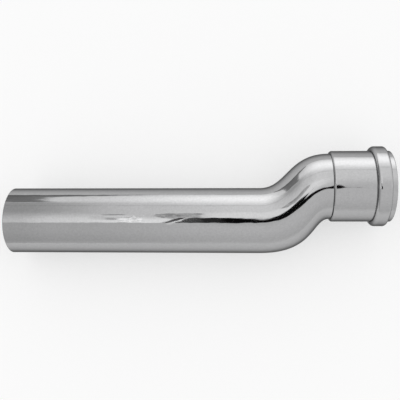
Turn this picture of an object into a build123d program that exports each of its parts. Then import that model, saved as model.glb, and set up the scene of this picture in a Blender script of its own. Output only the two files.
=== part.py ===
"""Eccentric extension tube for a basin waste: one bent metal tube with a lip seal in its socket."""
from build123d import *
from math import asin, cos, sin
import os

# All lengths are in millimetres.

# Tube stock
tube_od = 32.0
wall = 1.0

# Plain spigot end
spigot_run = 122.6
cut_chamfer_outer = 0.4
cut_chamfer_inner = 0.2

# Offset bend. The tube's crown and belly lines are two smooth curves that start and end level.
# A short lead or settle keeps its line level for less of the way, so that the line turns more tightly there.
offset_height = 16.8
bend_run = 33.6
crown_lead = 13.3
crown_settle = 19.8
belly_lead = 26.8
belly_settle = 8.2
bend_sections = 16

# Socket: a sleeve pressed out of the tube, with a bead that holds the lip seal
socket_clearance = 0.28
shoulder_lead = 0.2
shoulder_chamfer = 0.6
sleeve_run = 19.4
bead_rise = 2.2
bead_width = 6.9
bead_back_radius = 2.0
bead_back_inner_chamfer = 0.6
bead_front_chamfer = 0.7
nose_run = 2.6
mouth_chamfer_outer = 0.45
mouth_chamfer_inner = 0.25

# Lip seal, in the shape that it takes round a tube in the socket
seal_gap = 0.05
lip_clearance = 0.08
lip_thickness = 0.8
lip_reach = 2.2
seal_lining = 0.35

tube_r = tube_od / 2
sleeve_r = tube_r + socket_clearance + wall
bead_r = sleeve_r + bead_rise
sleeve_bore_r = sleeve_r - wall
bead_bore_r = bead_r - wall
socket_start = spigot_run + bend_run
shoulder = socket_start + shoulder_lead
bead_start = shoulder + sleeve_run
bead_end = bead_start + bead_width
mouth = bead_end + nose_run

# The tube lies on its straight run and on the bead, so the bend leans out of the level by this angle.
lean = asin((bead_r - tube_r) / offset_height)
bend_plane = Plane(origin=(0, 0, 0), x_dir=(1, 0, 0), z_dir=(0, -sin(lean), cos(lean)))
socket_plane = bend_plane.shift_origin(bend_plane.from_local_coords((0, offset_height, 0)))
socket_axis = Axis(socket_plane.origin, socket_plane.x_dir)


def line_point(lead, settle, side, share):
    """A point of the crown or belly line in the bend's plane, at a share of the way along its curve."""
    early = 3 * (1 - share) ** 2 * share
    late = 3 * (1 - share) * share**2
    run = early * lead + late * (bend_run - settle) + share**3 * bend_run
    rise = (late + share**3) * offset_height
    return Vector(spigot_run + run, rise + side * tube_r, 0)


def socket_line(inset):
    """The socket's outer skin, or its inner skin at an inset of one wall, from the bend to the mouth."""
    return Polyline(
        (socket_start, tube_r - inset),
        (shoulder + inset, tube_r - inset),
        (shoulder + inset, sleeve_r - inset),
        (bead_start + inset, sleeve_r - inset),
        (bead_start + inset, bead_r - inset),
        (bead_end - inset, bead_r - inset),
        (bead_end - inset, sleeve_r - inset),
        (mouth, sleeve_r - inset),
    )


def corner_at(profile, along, radius):
    """The corner of a profile in the socket's plane that lies at a run along the tube and a radius."""
    return profile.vertices().sort_by_distance((along, radius, 0))[0]


with BuildPart() as tube:
    # Straight run, with the edges of its cut end broken
    with BuildSketch(Plane.YZ):
        Circle(tube_r)
        Circle(tube_r - wall, mode=Mode.SUBTRACT)
    extrude(amount=spigot_run)
    chamfer(tube.edges().group_by(Axis.X)[0].sort_by(SortBy.RADIUS)[-1], cut_chamfer_outer)
    chamfer(tube.edges().group_by(Axis.X)[0].sort_by(SortBy.RADIUS)[0], cut_chamfer_inner)

    # Bend, as a stack of oval rings between the crown and belly lines
    for section in range(bend_sections + 1):
        crown = line_point(crown_lead, crown_settle, 1, section / bend_sections)
        belly = line_point(belly_lead, belly_settle, -1, section / bend_sections)
        half_height = (crown - belly).length / 2
        centre = bend_plane.from_local_coords((crown + belly) / 2)
        upright = bend_plane.from_local_coords(crown - belly)
        with BuildSketch(Plane(origin=centre, x_dir=upright, z_dir=upright.cross(bend_plane.z_dir))):
            Ellipse(half_height, tube_r)
            Ellipse(half_height - wall, tube_r - wall, mode=Mode.SUBTRACT)
    loft()

    # Socket, as a sheet of the tube's own wall
    with BuildSketch(socket_plane) as socket_profile:
        with BuildLine() as socket_skins:
            outer_skin = socket_line(0)
            inner_skin = socket_line(wall)
            Line(outer_skin @ 0, inner_skin @ 0)
            Line(outer_skin @ 1, inner_skin @ 1)
        make_face()
        chamfer(corner_at(socket_profile, shoulder, sleeve_r), shoulder_chamfer)
        fillet(corner_at(socket_profile, bead_start, bead_r), bead_back_radius)
        chamfer(corner_at(socket_profile, bead_start + wall, bead_bore_r), bead_back_inner_chamfer)
        chamfer(corner_at(socket_profile, bead_end, bead_r), bead_front_chamfer)
        chamfer(corner_at(socket_profile, mouth, sleeve_r), mouth_chamfer_outer)
        chamfer(corner_at(socket_profile, mouth, sleeve_bore_r), mouth_chamfer_inner)
    revolve(axis=socket_axis)
tube.part.label = "tube"


# Lip seal: a ring that fills the bead, with a lip that slopes in from the mouth
seal_back = bead_start + wall + seal_gap
seal_front = bead_end - wall - seal_gap
seal_outer_r = bead_bore_r - seal_gap
seal_inner_r = sleeve_bore_r + seal_lining
lip_r = tube_r + lip_clearance
lip_back = seal_front - lip_reach
with BuildPart() as seal_ring:
    with BuildSketch(socket_plane) as seal_profile:
        with BuildLine():
            Polyline(
                (seal_back, seal_inner_r),
                (seal_back, seal_outer_r),
                (seal_front, seal_outer_r),
                (seal_front, seal_inner_r),
                (lip_back + lip_thickness, lip_r),
                (lip_back, lip_r),
                (lip_back, seal_inner_r),
                close=True,
            )
        make_face()
        chamfer(corner_at(seal_profile, seal_back, seal_outer_r), bead_back_inner_chamfer)
    revolve(axis=socket_axis)
seal_ring.part.label = "seal_ring"

os.makedirs("parts", exist_ok=True)
export_step(tube.part, "parts/tube.step")
export_step(seal_ring.part, "parts/seal_ring.step")
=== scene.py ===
import bmesh
import bpy
from math import asin, cos, pi, radians, sin, tan
from mathutils import Matrix, Vector


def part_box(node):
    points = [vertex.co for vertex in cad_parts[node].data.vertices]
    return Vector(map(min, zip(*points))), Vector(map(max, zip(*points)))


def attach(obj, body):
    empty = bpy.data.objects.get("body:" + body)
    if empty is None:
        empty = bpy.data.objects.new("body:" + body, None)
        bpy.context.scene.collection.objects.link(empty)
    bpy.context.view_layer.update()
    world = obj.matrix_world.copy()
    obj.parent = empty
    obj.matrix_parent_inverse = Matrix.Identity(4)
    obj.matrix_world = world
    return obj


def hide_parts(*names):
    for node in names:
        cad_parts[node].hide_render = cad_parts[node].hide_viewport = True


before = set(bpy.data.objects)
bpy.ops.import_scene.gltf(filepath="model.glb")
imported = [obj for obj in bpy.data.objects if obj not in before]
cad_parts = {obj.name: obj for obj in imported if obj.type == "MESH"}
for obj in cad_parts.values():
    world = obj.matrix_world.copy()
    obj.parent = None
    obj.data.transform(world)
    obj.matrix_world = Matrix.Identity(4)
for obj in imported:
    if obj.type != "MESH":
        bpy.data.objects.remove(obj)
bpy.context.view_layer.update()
mm = 0.001


# A socket of a node tree, so that maths on it can be written as plain expressions.
class Wire:
    def __init__(self, graph, socket):
        self.graph = graph
        self.socket = socket

    def __add__(self, other):
        return self.graph.math("ADD", self, other)

    def __radd__(self, other):
        return self.graph.math("ADD", other, self)

    def __sub__(self, other):
        return self.graph.math("SUBTRACT", self, other)

    def __rsub__(self, other):
        return self.graph.math("SUBTRACT", other, self)

    def __mul__(self, other):
        return self.graph.math("MULTIPLY", self, other)

    def __rmul__(self, other):
        return self.graph.math("MULTIPLY", other, self)

    def __truediv__(self, other):
        return self.graph.math("DIVIDE", self, other)

    def __rtruediv__(self, other):
        return self.graph.math("DIVIDE", other, self)

    def __pow__(self, other):
        return self.graph.math("POWER", self, other)


# A node tree to which nodes are added one at a time.
class Graph:
    def __init__(self, tree):
        self.tree = tree

    def add(self, kind, settings=None, inputs=None, output=0):
        node = self.tree.nodes.new(kind)
        for name, value in (settings or {}).items():
            setattr(node, name, value)
        for name, value in (inputs or {}).items():
            if isinstance(value, Wire):
                self.tree.links.new(value.socket, node.inputs[name])
            else:
                node.inputs[name].default_value = value
        return Wire(self, node.outputs[output]) if node.outputs else None

    def math(self, operation, *values, clamp=False):
        settings = {"operation": operation, "use_clamp": clamp}
        return self.add("ShaderNodeMath", settings, dict(enumerate(values)))

    def smooth(self, value, low, high):  # 0 at low, 1 at high, eased between them
        return self.add(
            "ShaderNodeMapRange",
            {"interpolation_type": "SMOOTHSTEP"},
            {"Value": value, "From Min": low, "From Max": high},
        )

    def within(self, value, low, high, ease):  # 1 between low and high, 0 outside them
        rise = self.smooth(value, low - ease, low + ease)
        return rise * (1 - self.smooth(value, high - ease, high + ease))

    def blend(self, factor, first, second):  # plain numbers
        return self.add(
            "ShaderNodeMix",
            {"data_type": "FLOAT"},
            {"Factor": factor, 2: first, 3: second},
        )

    def vector(self, x, y, z):
        return self.add("ShaderNodeCombineXYZ", inputs={"X": x, "Y": y, "Z": z})

    def axis(self, vector, name):
        return self.add("ShaderNodeSeparateXYZ", inputs={"Vector": vector}, output=name)

    def stretch(self, vector, by):
        return self.add("ShaderNodeVectorMath", {"operation": "MULTIPLY"}, {0: vector, 1: by})

    def noise(self, vector, scale=1.0, detail=2.0, roughness=0.5):
        return self.add(
            "ShaderNodeTexNoise",
            inputs={"Vector": vector, "Scale": scale, "Detail": detail, "Roughness": roughness},
        )

    def bump(self, height):  # a height in millimetres
        return self.add("ShaderNodeBump", inputs={"Height": height, "Distance": mm, "Strength": 1.0})


# The tube's sizes in millimetres, as in the part's source. A user changes them there and here together.
tubeSizes = {
    "tubeRadius": 16.0,
    "wall": 1.0,
    "spigotRun": 122.6,
    "offsetHeight": 16.8,
    "bendRun": 33.6,
    "crownLead": 13.3,
    "crownSettle": 19.8,
    "bellyLead": 26.8,
    "bellySettle": 8.2,
    "sleeveRadius": 17.28,
    "beadRadius": 19.48,
    "shoulder": 156.4,
    "beadStart": 175.8,
    "beadEnd": 182.7,
    "mouth": 185.3,
}
lean = asin((tubeSizes["beadRadius"] - tubeSizes["tubeRadius"]) / tubeSizes["offsetHeight"])
upright = Vector((0, cos(lean), sin(lean)))  # across the tube, in the plane of its bend
outward = Vector((0, -sin(lean), cos(lean)))  # square to that plane


# Rounds the corners of a closed profile. Corners are (run, radius, rounding, inside) and points are
# (run, radius, inside), where inside is 1 in the bore and 0 on the outer skin. A support point stands just
# past each end of a round.
def roundedProfile(corners, arcSteps, support):
    points = []
    for place, (run, radius, rounding, inside) in enumerate(corners):
        here = Vector((run, radius))
        if rounding == 0:
            points.append((run, radius, inside))
            continue
        before = Vector(corners[place - 1][:2])
        after = Vector(corners[(place + 1) % len(corners)][:2])
        toBefore = (before - here).normalized()
        toAfter = (after - here).normalized()
        halfAngle = toBefore.angle(toAfter) / 2
        reach = rounding / tan(halfAngle)
        centre = here + (toBefore + toAfter).normalized() * rounding / sin(halfAngle)
        start = here + toBefore * reach
        end = here + toAfter * reach
        first = start - centre
        sweep = first.angle_signed(end - centre)
        points.append((*(start + toBefore * support), inside))
        for step in range(arcSteps + 1):
            turned = Matrix.Rotation(-sweep * step / arcSteps, 2) @ first
            points.append((*(centre + turned), inside))
        points.append((*(end + toAfter * support), inside))
    return points


def profileObject(name, points):
    mesh = bpy.data.meshes.new(name)
    edges = [(place, (place + 1) % len(points)) for place in range(len(points))]
    mesh.from_pydata([(run * mm, radius * mm, 0) for run, radius, inside in points], edges, [])
    insideLayer = mesh.attributes.new("inside", "FLOAT", "POINT")
    for place, (run, radius, inside) in enumerate(points):
        insideLayer.data[place].value = inside
    made = bpy.data.objects.new(name, mesh)
    bpy.context.scene.collection.objects.link(made)
    return made


# The same sizes in metres, by the names of the tree's inputs.
skinValues = {
    "Tube Radius": tubeSizes["tubeRadius"] * mm,
    "Spigot Run": tubeSizes["spigotRun"] * mm,
    "Bend Run": tubeSizes["bendRun"] * mm,
    "Offset Height": tubeSizes["offsetHeight"] * mm,
    "Crown Lead": tubeSizes["crownLead"] * mm,
    "Crown Settle": tubeSizes["crownSettle"] * mm,
    "Belly Lead": tubeSizes["bellyLead"] * mm,
    "Belly Settle": tubeSizes["bellySettle"] * mm,
    "Lean": lean,
}


# Spins a profile round the tube's line. Its run and radius become places on the straight run, the oval bend
# or the socket.
def spunSkinTree():
    tree = bpy.data.node_groups.new("spunSkin", "GeometryNodeTree")
    g = Graph(tree)

    def socket(label, kind, side="INPUT"):
        tree.interface.new_socket(label, in_out=side, socket_type=kind)

    socket("Geometry", "NodeSocketGeometry")
    socket("Geometry", "NodeSocketGeometry", "OUTPUT")
    for label in skinValues:
        socket(label, "NodeSocketFloat")
    socket("Around", "NodeSocketInt")
    socket("Finish", "NodeSocketMaterial")
    socket("Bore Finish", "NodeSocketMaterial")
    entry = g.add("NodeGroupInput").socket.node
    given = {output.name: Wire(g, output) for output in entry.outputs if output.name}

    def keep(geometry, name, value, kind="FLOAT"):
        return g.add(
            "GeometryNodeStoreNamedAttribute",
            {"data_type": kind, "domain": "POINT"},
            {"Geometry": geometry, "Name": name, "Value": value},
        )

    def kept(name):
        return g.add("GeometryNodeInputNamedAttribute", {"data_type": "FLOAT"}, {"Name": name})

    # The profile's run and radius, and the turn round the tube, go along with the swept skin.
    place = g.add("GeometryNodeInputPosition")
    profile = g.add("GeometryNodeMeshToCurve", inputs={"Mesh": given["Geometry"]})
    profile = keep(profile, "run", g.axis(place, "X"))
    profile = keep(profile, "fromAxis", g.axis(place, "Y"))
    ring = g.add("GeometryNodeCurvePrimitiveCircle", inputs={"Resolution": given["Around"]})
    ring = keep(ring, "turn", g.add("GeometryNodeInputIndex") * (-2 * pi) / given["Around"])
    skin = g.add("GeometryNodeCurveToMesh", inputs={"Curve": ring, "Profile Curve": profile})

    # Crown and belly of the bend at this run, as on the part.
    run, radius, turn = kept("run"), kept("fromAxis"), kept("turn")
    tubeRadius, bendRun = given["Tube Radius"], given["Bend Run"]
    share = g.math("DIVIDE", run - given["Spigot Run"], bendRun, clamp=True)
    early = 3 * (1 - share) ** 2 * share
    late = 3 * (1 - share) * share ** 2
    cube = share ** 3
    crown = early * given["Crown Lead"] + late * (bendRun - given["Crown Settle"]) + cube * bendRun
    belly = early * given["Belly Lead"] + late * (bendRun - given["Belly Settle"]) + cube * bendRun
    rise = (late + cube) * given["Offset Height"]
    halfSlip = (crown - belly) / 2
    halfHeight = g.math("SQRT", halfSlip * halfSlip + tubeRadius * tubeRadius)
    level = run - share * bendRun  # how far the straight stretches carry on

    # An oval section between them, thicker or thinner by how far the point lies off the tube's skin.
    off = radius - tubeRadius
    turnCos, turnSin = g.math("COSINE", turn), g.math("SINE", turn)
    high = (halfHeight + off) * turnCos
    wide = (tubeRadius + off) * turnSin
    along = level + (crown + belly) / 2 + high * halfSlip / halfHeight
    across = rise + high * tubeRadius / halfHeight
    leanCos, leanSin = g.math("COSINE", given["Lean"]), g.math("SINE", given["Lean"])
    spot = g.vector(along, across * leanCos - wide * leanSin, across * leanSin + wide * leanCos)
    skin = g.add("GeometryNodeSetPosition", inputs={"Geometry": skin, "Position": spot})

    # The same point as if the tube were straight, for the materials.
    straightened = g.vector(run, radius * turnCos, radius * turnSin)
    skin = keep(skin, "straightened", straightened, "FLOAT_VECTOR")
    skin = g.add("GeometryNodeSetShadeSmooth", inputs={"Geometry": skin})
    skin = g.add("GeometryNodeRealizeInstances", inputs={"Geometry": skin})
    skin = g.add("GeometryNodeSetMaterial", inputs={"Geometry": skin, "Material": given["Finish"]})
    boreFaces = g.math("GREATER_THAN", kept("inside"), 0.5)
    skin = g.add(
        "GeometryNodeSetMaterial",
        inputs={"Geometry": skin, "Selection": boreFaces, "Material": given["Bore Finish"]},
    )
    g.add("NodeGroupOutput", inputs={"Geometry": skin})
    return tree


# Runs the tree on a profile and swaps the profile for the plain mesh that it makes.
def spin(profile, tree, values):
    values = {**skinValues, **values}
    modifier = profile.modifiers.new("skin", "NODES")
    modifier.node_group = tree
    for item in tree.interface.items_tree:
        if item.in_out == "INPUT" and item.name in values:
            modifier[item.identifier] = values[item.name]
    evaluated = profile.evaluated_get(bpy.context.evaluated_depsgraph_get())
    made = bpy.data.meshes.new_from_object(evaluated)
    profile.modifiers.remove(modifier)
    profile.data = made
    return profile


def newMaterial(name):
    material = bpy.data.materials.new(name)
    material.use_nodes = True
    material.node_tree.nodes.clear()
    return material, Graph(material.node_tree)


def straightenedPlace(g):
    return g.add("ShaderNodeAttribute", {"attribute_name": "straightened"}, output="Vector")


# Bright chrome plate on a drawn tube: slightly wavy, with faint rubbed smears. A stretch says how fine a
# pattern is, along the tube and across it.
chrome = {
    "plate": 0.43,
    "evenness": 0.89,
    "grain": 0.22,
    "grainStretch": (900, 900, 900),
    "blue": 1.01,
    "rimTint": 0.2,
    "roughness": 0.045,
    "smearRoughness": 0.05,
    "smearStretch": (40, 160, 160),
    "smearEdge": (0.5, 0.75),
    "waveStretch": (170, 650, 650),
    "waveHeight": 0.024,  # mm
}


def chromeMaterial():
    material, g = newMaterial("chromePlate")
    where = straightenedPlace(g)
    wave = g.noise(g.stretch(where, chrome["waveStretch"]), detail=1.0, roughness=0.4)
    cloud = g.noise(g.stretch(where, chrome["smearStretch"]), detail=4.0, roughness=0.6)
    smear = g.smooth(cloud, *chrome["smearEdge"])
    grain = g.noise(g.stretch(where, chrome["grainStretch"]), detail=2.0, roughness=0.7)
    level = chrome["plate"] * (chrome["evenness"] + chrome["grain"] * grain)
    shader = g.add(
        "ShaderNodeBsdfPrincipled",
        inputs={
            "Base Color": g.vector(level, level, level * chrome["blue"]),
            "Metallic": 1.0,
            "Roughness": chrome["roughness"] + chrome["smearRoughness"] * smear,
            "Specular Tint": (chrome["rimTint"], chrome["rimTint"], chrome["rimTint"], 1),
            "Normal": g.bump(wave * chrome["waveHeight"]),
        },
    )
    g.add("ShaderNodeOutputMaterial", inputs={"Surface": shader})
    return material


# The bore is left satin, slightly warm, with the drawing lines along it.
bore = {
    "metal": 0.62,
    "evenness": 0.82,
    "green": 0.985,
    "blue": 0.955,
    "roughness": 0.36,
    "cloudRoughness": 0.14,
    "clouds": 0.2,
    "cloudStretch": (90, 120, 120),
    "lines": 0.16,
    "lineStretch": (60, 2200, 2200),
    "lineHeight": 0.003,  # mm
}


def boreMaterial():
    material, g = newMaterial("satinBore")
    where = straightenedPlace(g)
    lines = g.noise(g.stretch(where, bore["lineStretch"]), detail=3.0, roughness=0.6)
    cloud = g.noise(g.stretch(where, bore["cloudStretch"]), detail=4.0, roughness=0.6)
    level = bore["metal"] * (bore["evenness"] + bore["lines"] * lines + bore["clouds"] * cloud)
    shader = g.add(
        "ShaderNodeBsdfPrincipled",
        inputs={
            "Base Color": g.vector(level, level * bore["green"], level * bore["blue"]),
            "Metallic": 1.0,
            "Roughness": bore["roughness"] + bore["cloudRoughness"] * cloud,
            "Normal": g.bump(lines * bore["lineHeight"]),
        },
    )
    g.add("ShaderNodeOutputMaterial", inputs={"Surface": shader})
    return material


# Black rubber of the lip seal, with a faint bloom.
rubber = {
    "colour": 0.028,
    "evenness": 0.75,
    "bloom": 0.5,
    "bloomScale": 350.0,
    "roughness": 0.5,
    "bloomRoughness": 0.15,
    "grainScale": 2500.0,
    "grainHeight": 0.02,  # mm
}


def rubberMaterial():
    material, g = newMaterial("sealRubber")
    where = g.add("ShaderNodeTexCoord", output="Object")
    bloom = g.noise(where, rubber["bloomScale"], detail=4.0, roughness=0.6)
    grain = g.noise(where, rubber["grainScale"])
    level = rubber["colour"] * (rubber["evenness"] + rubber["bloom"] * bloom)
    shader = g.add(
        "ShaderNodeBsdfPrincipled",
        inputs={
            "Base Color": g.vector(level, level, level),
            "Roughness": rubber["roughness"] + rubber["bloomRoughness"] * bloom,
            "Normal": g.bump(grain * rubber["grainHeight"]),
        },
    )
    g.add("ShaderNodeOutputMaterial", inputs={"Surface": shader})
    return material


# How finely the tube is divided, and the rounds of its corners in millimetres.
tubeLook = {
    "around": 256,
    "arcSteps": 7,
    "bendSteps": 60,
    "support": 0.04,
    "cutOuter": 0.35,
    "cutInner": 0.2,
    "cutFinish": 0.3,  # below a half, so that the cut's inner edge is still plated
    "root": 0.08,
    "shoulderCorner": 1.1,
    "shoulderInner": 1.0,
    "beadBack": 1.95,
    "beadBackInner": 0.95,
    "beadFront": 1.2,
    "beadFrontInner": 0.2,
    "beadThroat": 1.1,
    "sleeveRootInner": 0.1,
    "mouthOuter": 0.5,
    "mouthInner": 0.3,
}


# Its profile: the outer skin out to the mouth, then the inner skin back.
def tubePiece(tree, finish, boreFinish):
    s, look = tubeSizes, tubeLook
    wall = s["wall"]
    boreRadius = s["tubeRadius"] - wall
    sleeveBore = s["sleeveRadius"] - wall
    beadBore = s["beadRadius"] - wall
    steps = look["bendSteps"]
    stations = [s["spigotRun"] + s["bendRun"] * step / steps for step in range(steps + 1)]
    corners = [(0, s["tubeRadius"], look["cutOuter"], 0)]
    corners += [(station, s["tubeRadius"], 0, 0) for station in stations[:-1]]
    corners += [
        (s["shoulder"], s["tubeRadius"], look["root"], 0),
        (s["shoulder"], s["sleeveRadius"], look["shoulderCorner"], 0),
        (s["beadStart"], s["sleeveRadius"], look["root"], 0),
        (s["beadStart"], s["beadRadius"], look["beadBack"], 0),
        (s["beadEnd"], s["beadRadius"], look["beadFront"], 0),
        (s["beadEnd"], s["sleeveRadius"], look["root"], 0),
        (s["mouth"], s["sleeveRadius"], look["mouthOuter"], 0),
        (s["mouth"], sleeveBore, look["mouthInner"], 0),
        (s["beadEnd"] - wall, sleeveBore, look["beadThroat"], 1),
        (s["beadEnd"] - wall, beadBore, look["beadFrontInner"], 1),
        (s["beadStart"] + wall, beadBore, look["beadBackInner"], 1),
        (s["beadStart"] + wall, sleeveBore, look["beadThroat"], 1),
        (s["shoulder"] + wall, sleeveBore, look["sleeveRootInner"], 1),
        (s["shoulder"] + wall, boreRadius, look["shoulderInner"], 1),
    ]
    corners += [(station, boreRadius, 0, 1) for station in reversed(stations)]
    corners += [(0, boreRadius, look["cutInner"], look["cutFinish"])]
    profile = profileObject("tubeSkin", roundedProfile(corners, look["arcSteps"], look["support"]))
    return spin(profile, tree, {"Around": look["around"], "Finish": finish, "Bore Finish": boreFinish})


# The lip seal, in the shape that it takes round a tube, in millimetres.
sealLook = {
    "around": 192,
    "arcSteps": 4,
    "support": 0.06,
    "gap": 0.05,
    "lining": 0.35,
    "lipRadius": 16.08,
    "lipThickness": 0.8,
    "lipReach": 2.2,
    "edgeRound": 0.1,
    "backRound": 0.95,
    "frontRound": 0.2,
    "lipRound": 0.15,
}


def sealPiece(tree, finish):
    s, look = tubeSizes, sealLook
    back = s["beadStart"] + s["wall"] + look["gap"]
    front = s["beadEnd"] - s["wall"] - look["gap"]
    outer = s["beadRadius"] - s["wall"] - look["gap"]
    lined = s["sleeveRadius"] - s["wall"] + look["lining"]
    lipBack = front - look["lipReach"]
    corners = [
        (back, lined, look["edgeRound"], 0),
        (back, outer, look["backRound"], 0),
        (front, outer, look["frontRound"], 0),
        (front, lined, look["edgeRound"], 0),
        (lipBack + look["lipThickness"], look["lipRadius"], look["lipRound"], 0),
        (lipBack, look["lipRadius"], look["lipRound"], 0),
        (lipBack, lined, look["edgeRound"], 0),
    ]
    profile = profileObject("lipSeal", roundedProfile(corners, look["arcSteps"], look["support"]))
    return spin(profile, tree, {"Around": look["around"], "Finish": finish})


skinTree = spunSkinTree()
tube = tubePiece(skinTree, chromeMaterial(), boreMaterial())
seal = sealPiece(skinTree, rubberMaterial())
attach(tube, "root")
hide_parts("tube")
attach(seal, "root")
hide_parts("seal_ring")
print("pieces made:", len(tube.data.polygons), "and", len(seal.data.polygons), "faces")


# Plain pale paper, level with the lowest point of the tube.
floorLook = {
    "size": 9.0,  # m
    "colour": 0.96,
    "roughness": 0.9,
    "lift": 0.45,  # how far to white the camera and the chrome see it
}


def floorPiece():
    material, g = newMaterial("palePaper")
    grade = floorLook["colour"]
    paperShader = g.add(
        "ShaderNodeBsdfPrincipled",
        inputs={
            "Base Color": (grade, grade, grade, 1),
            "Roughness": floorLook["roughness"],
            "Specular IOR Level": 0.0,
        },
    )
    seen = g.add("ShaderNodeLightPath", output="Is Camera Ray")
    seen = seen + g.add("ShaderNodeLightPath", output="Is Glossy Ray")
    seen = seen + g.add("ShaderNodeLightPath", output="Is Transmission Ray")
    lift = g.math("MULTIPLY", seen, floorLook["lift"], clamp=True)
    white = g.add("ShaderNodeEmission", inputs={"Color": (1, 1, 1, 1), "Strength": 1.0})
    shader = g.add("ShaderNodeMixShader", inputs={0: lift, 1: paperShader, 2: white})
    g.add("ShaderNodeOutputMaterial", inputs={"Surface": shader})
    half = floorLook["size"] / 2
    low = min(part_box(name)[0].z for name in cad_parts)
    corners = [(-half, -half, low), (half, -half, low), (half, half, low), (-half, half, low)]
    mesh = bpy.data.meshes.new("floor")
    mesh.from_pydata(corners, [], [(0, 1, 2, 3)])
    mesh.materials.append(material)
    floor = bpy.data.objects.new("floor", mesh)
    bpy.context.scene.collection.objects.link(floor)


floorPiece()
print("floor laid")


# The light tent that the chrome reflects is a drum round the tube, with a painted reflection on it: painted
# lights, painted shade and painted dark and bright patches. A place along it is in millimetres.
# A height round it is in degrees: 0 is level behind the tube, 90 straight over it and 180 level before it.
# Three numbers say where a patch starts, where it ends and how soft its edges are, and two say where an edge
# starts and where it is done.


# A light's brightness, which eases from each (place, level) to the next.
def along(g, place, stops):
    level = stops[0][1]
    for (before, first), (here, second) in zip(stops, stops[1:]):
        level = level + (second - first) * g.smooth(place, before, here)
    return level


# A value that changes by steps, each given as (from, to, change).
def stepped(g, place, level, steps):
    for start, end, change in steps:
        level = level + change * g.smooth(place, start, end)
    return level


# Painted lights on the drum: a roof, a strip light behind the tube and one over it, with their brightness at
# places along the tent, and a painted glow band and darker seam.
tentLights = {
    "back": [(-330, 0.35), (-112, 0.97), (-70, 1.25), (120, 2.0), (222, 2.1), (460, 1.05)],
    "roof": [(-330, 0.4), (-112, 0.6), (16, 1.1), (120, 1.28), (222, 1.24), (460, 1.1)],
    "over": [(-330, 0.5), (-112, 1.05), (-70, 1.32), (16, 1.58), (120, 1.31), (222, 0.93), (460, 1.05)],
    "backFoot": (-12, 16),
    "backTop": (20, 48),
    "sharper": (5, 11),  # degrees that this edge draws in from both ends, by the spigot
    "sharpEnd": (-70, 100),
    "overEdge": (62, 98),
    "pinch": 20,  # degrees that this edge starts higher, by the gap's point
    "pinchPlaces": (-20, 70, 45),
    "glow": 0.16,
    "glowPlaces": (70, 190, 40),
    "glowHeights": (70, 88, 5),
    "seam": 0.15,
    "seamHeights": (44.2, 46.4, 1.2),
}


def lightsLevel(g, place, height):
    look = tentLights
    roof = along(g, place, look["roof"])
    sharp = 1 - g.smooth(place, *look["sharpEnd"])
    low, high = look["backTop"]
    rise, drop = look["sharper"]
    back = g.smooth(height, *look["backFoot"])
    back = back * (1 - g.smooth(height, low + rise * sharp, high - drop * sharp))
    low, high = look["overEdge"]
    over = g.smooth(height, low + look["pinch"] * g.within(place, *look["pinchPlaces"]), high)
    level = roof + (along(g, place, look["back"]) - roof) * back
    level = level + (along(g, place, look["over"]) - roof) * over
    glow = look["glow"] * g.within(place, *look["glowPlaces"]) * g.within(height, *look["glowHeights"])
    return (level + glow) * (1 - look["seam"] * g.within(height, *look["seamHeights"]))


# The front of the drum, a dimmer painted band of the reflection, hangs down to the floor, with painted shade
# near its top edge and a painted lighter hem.
paintedFront = {
    "light": [(-330, 0.5), (-112, 0.72), (-70, 0.79), (120, 0.94), (460, 0.93)],
    "edge": (103.6, 105.2),
    "fall": 0.13,
    "fallHeights": (125, 172),
    "hem": 0.1,
    "hemHeights": (172, 182),
    "shade": 0.12,
    "shadePlaces": (75, 160, 30),
    "shadeHeights": (104, 121),
}


def frontLevel(g, place, height):
    look = paintedFront
    level = along(g, place, look["light"]) * (1 - look["fall"] * g.smooth(height, *look["fallHeights"]))
    level = level + look["hem"] * g.smooth(height, *look["hemHeights"])
    # Painted shade near the top edge of the front.
    shade = look["shade"] * g.within(place, *look["shadePlaces"])
    return level - shade * (1 - g.smooth(height, *look["shadeHeights"]))


# Noises that tear and crumple the edges of the painted patches: the size of their grain along and up, seed,
# detail and roughness.
raggedEdges = {
    "tear": (6, 10, 0.0, 3.0, 0.65),
    "streak": (50, 2.2, 4.0, 3.0, 0.6),
    "crinkle": (3, 6, 9.0, 2.0, 0.6),
    "crinkleEdge": (0.4, 0.6),
}


def raggedNoise(g, place, height, name):
    long, tall, seed, detail, roughness = raggedEdges[name]
    return g.noise(g.vector(place / long, height / tall, seed), detail=detail, roughness=roughness)


# The painted dark end of the reflection beside the spigot, low behind the tube, with a foot that runs on and
# painted dark streaks.
darkEnd = {
    "edge": -84.0,
    "edgeSoft": (-9, 9),
    "foot": 104.0,
    "footHeights": (-3.0, 10.0),
    "top": (29.0, 33.0),
    "level": 0.33,
    "streaks": (60, 14, 0.7),  # along, up, and in its darkness
}


def darkEndShade(g, place, height, streak):
    look = darkEnd
    pushAlong, pushUp, inside = look["streaks"]
    edge = look["edge"] + look["foot"] * (1 - g.smooth(height, *look["footHeights"]))
    side = 1 - g.smooth(place + streak * pushAlong - edge, *look["edgeSoft"])
    side = side * (1 - g.smooth(height + streak * pushUp, *look["top"]))
    return (1 - look["level"]) * side * (1 + streak * inside)


# A painted grey patch in the reflection at the gap's end, which widens from a point, with painted crinkles.
paintedGreyPatch = {
    "dark": 0.45,
    "crinkles": 0.35,
    "places": (28.0, 75.0, 3),
    "middle": 81.0,
    "halfHeight": 9.0,
    "widens": (16.0, 44.0),
    "edge": (-1.2, 1.2),
    "torn": 10,
}


def paintedGreyPatchShade(g, place, height, tear, crinkle):
    look = paintedGreyPatch
    torn = tear * look["torn"]
    half = look["halfHeight"] * g.smooth(place, *look["widens"])
    fromMiddle = g.math("ABSOLUTE", height + torn - look["middle"])
    cloth = g.within(place + torn, *look["places"])
    cloth = cloth * (1 - g.smooth(fromMiddle - half, *look["edge"]))
    return (look["dark"] + crinkle * look["crinkles"]) * cloth
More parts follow.
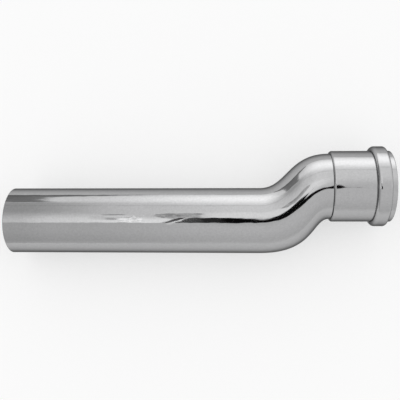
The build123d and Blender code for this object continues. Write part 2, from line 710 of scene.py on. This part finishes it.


# The painted dark gap between the painted light over the tube and the painted front: it starts in a slanting
# point, is wide over the straight run and narrower past it, and frays out over the socket. Torn is how far
# the tears move an edge.
gap = {
    "top": 88,  # the edge by the light over the tube
    "topSteps": [(92, 102, 1.2), (118, 140, 6.4), (150, 190, 1.2), (198, 204, -3.5), (207, 217, 6.5)],
    "foot": 105,  # the edge by the front cloth
    "footSteps": [(131, 134, -1.2), (196, 204, 1.5), (207, 217, -5)],
    "point": 50,  # before this place its top slants up to the foot
    "pointSlope": 1.15,
    "depth": 0.91,
    "depthTorn": 10,
    "depthTornSteps": [(66, 78, 0.06)],
    "depthSteps": [(90, 100, 0.025)],
    "topTorn": 3.5,
    "topTornSteps": [(203, 208, 12)],
    "topEdge": (-0.8, 0.8),
    "footTorn": 3,
    "footEdge": (-0.6, 0.6),
    "start": (35, 38),
    "startTorn": 4,
    "end": (222, 238),
    "endTorn": 30,
    "nick": 0.72,  # a short dark nick in its top edge
    "nickPlaces": (132.6, 134.2, 0.7),
    "nickHeights": (85.5, 91, 1.2),
}


def gapShape(g, place, height, tear):
    look = gap
    point = g.math("MAXIMUM", (look["point"] - place) * look["pointSlope"], 0.0)
    top = stepped(g, place, look["top"] + point, look["topSteps"])
    foot = stepped(g, place, look["foot"], look["footSteps"])
    topTear = tear * stepped(g, place, look["topTorn"], look["topTornSteps"])
    shape = g.smooth(height + topTear - top, *look["topEdge"])
    shape = shape * (1 - g.smooth(height + tear * look["footTorn"] - foot, *look["footEdge"]))
    shape = shape * g.smooth(place + tear * look["startTorn"], *look["start"])
    shape = shape * (1 - g.smooth(place + tear * look["endTorn"], *look["end"]))
    nick = look["nick"] * g.within(place, *look["nickPlaces"]) * g.within(height, *look["nickHeights"])
    return g.math("MAXIMUM", shape, nick)


# Painted dark spots in the reflection by the gap's point, with how far the tears move their edges along and
# up.
paintedDarkSpots = {
    "darkBar": {"dark": 0.52, "places": (-24.0, -3.0, 3), "heights": (76.2, 79.4, 0.8), "torn": (10, 4)},
    "wedge": {"dark": 0.5, "places": (-21.0, -10.0, 3), "heights": (88, 96, 1.5), "torn": (10, 8)},
    "haze": {"dark": 0.14, "places": (-37, -21, 2), "heights": (83, 94, 2), "torn": (0, 0)},
}
# A painted crinkled glint in the reflection by the gap's point.
paintedCrinkledGlint = {"places": (-8, 16, 3), "heights": (79, 103, 3), "crinkles": 0.7, "shine": 0.05}

# A painted bright slash across the gap, a painted highlight in the reflection.
slash = {"slope": 1.1, "band": (153.3, 156.7, 0.7), "places": (41, 65, 1.5), "torn": 4, "shine": 0.35}


def paintDrum(g, place, y, z):
    turned = g.math("ARCTAN2", z, y) * (180 / pi)
    height = turned + 360 * g.math("LESS_THAN", turned, -90.0)  # counts on from straight below
    tear = raggedNoise(g, place, height, "tear") - 0.5
    streak = raggedNoise(g, place, height, "streak") - 0.5
    crinkle = g.smooth(raggedNoise(g, place, height, "crinkle"), *raggedEdges["crinkleEdge"]) - 0.5

    level = lightsLevel(g, place, height)
    level = g.blend(g.smooth(height, *paintedFront["edge"]), level, frontLevel(g, place, height))
    level = level * (1 - darkEndShade(g, place, height, streak))
    for thing in paintedDarkSpots.values():
        tornAlong, tornUp = thing["torn"]
        spot = g.within(place + tear * tornAlong, *thing["places"])
        spot = spot * g.within(height + tear * tornUp, *thing["heights"])
        level = level * (1 - thing["dark"] * spot)
    paintedCrinkledGlintSpot = g.within(place, *paintedCrinkledGlint["places"]) * g.within(height, *paintedCrinkledGlint["heights"])
    level = level * (1 + (crinkle * paintedCrinkledGlint["crinkles"] + paintedCrinkledGlint["shine"]) * paintedCrinkledGlintSpot)
    level = level * (1 - paintedGreyPatchShade(g, place, height, tear, crinkle))

    slant = height + place * slash["slope"]
    bright = g.within(slant, *slash["band"])
    bright = bright * g.within(place + tear * slash["torn"], *slash["places"])
    depth = stepped(g, place + tear * gap["depthTorn"], gap["depth"], gap["depthTornSteps"])
    depth = stepped(g, place, depth, gap["depthSteps"])
    dark = depth * gapShape(g, place, height, tear) * (1 - bright)
    return level * (1 - dark) * (1 + slash["shine"] * bright)


# The chrome alone sees the drum's glow, a painted reflection. It takes no part in the light: the world gives
# that.
tent = {"radius": 300.0, "ends": (-900.0, 1100.0), "segments": 96}


def tentDrum():
    material, g = newMaterial("paintedTentReflection")
    spot = g.add("ShaderNodeTexCoord", output="Object")
    x, y, z = (g.axis(spot, name) * (1 / mm) for name in "XYZ")
    level = paintDrum(g, x, y, z)
    colour = g.vector(level, level, level)
    glow = g.add("ShaderNodeEmission", inputs={"Color": colour, "Strength": 1.0})
    g.add("ShaderNodeOutputMaterial", inputs={"Surface": glow})
    material.cycles.emission_sampling = "NONE"
    left, right = tent["ends"]
    centre = Matrix.Translation(((left + right) / 2 * mm, 0, 0))
    shell = bmesh.new()
    bmesh.ops.create_cone(
        shell,
        cap_ends=True,
        segments=tent["segments"],
        radius1=tent["radius"] * mm,
        radius2=tent["radius"] * mm,
        depth=(right - left) * mm,
        matrix=centre @ Matrix.Rotation(pi / 2, 4, "Y"),
    )
    mesh = bpy.data.meshes.new("tentDrum")
    shell.to_mesh(mesh)
    shell.free()
    mesh.materials.append(material)
    made = bpy.data.objects.new("tentDrum", mesh)
    bpy.context.scene.collection.objects.link(made)
    made.visible_camera = False
    made.visible_diffuse = False
    made.visible_transmission = False
    made.visible_volume_scatter = False
    made.visible_shadow = False


# Even light from all round, and the pale paper behind the floor.
paper = {"light": 0.98}


def paperWorld():
    world = bpy.data.worlds.new("paper")
    bpy.context.scene.world = world
    world.use_nodes = True
    world.node_tree.nodes.clear()
    g = Graph(world.node_tree)
    inputs = {"Color": (1, 1, 1, 1), "Strength": paper["light"]}
    background = g.add("ShaderNodeBackground", inputs=inputs)
    g.add("ShaderNodeOutputWorld", inputs={"Surface": background})
    world.cycles_visibility.glossy = False  # the drum stands before it, and both would be counted


tentDrum()
paperWorld()
print("tent and world lit")


# The camera looks nearly square onto the plane of the bend, from above.
view = {
    "lens": 50.12,
    "sensorWidth": 36,
    "clipStart": 0.01,
    "along": 0.11407,  # m, as the next two
    "up": 0.02604,
    "distance": 0.27493,
    "turnAside": 2.699,  # degrees, as the next two
    "turnDown": 1.106,
    "roll": -0.189,
    "shiftX": -0.04,
    "shiftY": -0.0537,
}


def photoCamera():
    lens = bpy.data.cameras.new("photoCamera")
    lens.sensor_width = view["sensorWidth"]
    lens.lens = view["lens"]
    lens.shift_x = view["shiftX"]
    lens.shift_y = view["shiftY"]
    lens.clip_start = view["clipStart"]
    camera = bpy.data.objects.new("photoCamera", lens)
    bpy.context.scene.collection.objects.link(camera)
    square = Matrix((Vector((1, 0, 0)), upright, outward)).transposed()
    aside = Matrix.Rotation(radians(view["turnAside"]), 3, "Y")
    down = Matrix.Rotation(radians(-view["turnDown"]), 3, "X")
    roll = Matrix.Rotation(radians(view["roll"]), 3, "Z")
    turn = (square @ aside @ down @ roll).to_4x4()
    place = Vector((view["along"], 0, 0)) + upright * view["up"] + outward * view["distance"]
    camera.matrix_world = Matrix.Translation(place) @ turn
    bpy.context.scene.camera = camera


photoCamera()
bpy.context.scene.view_settings.view_transform = "Standard"
print("camera set")
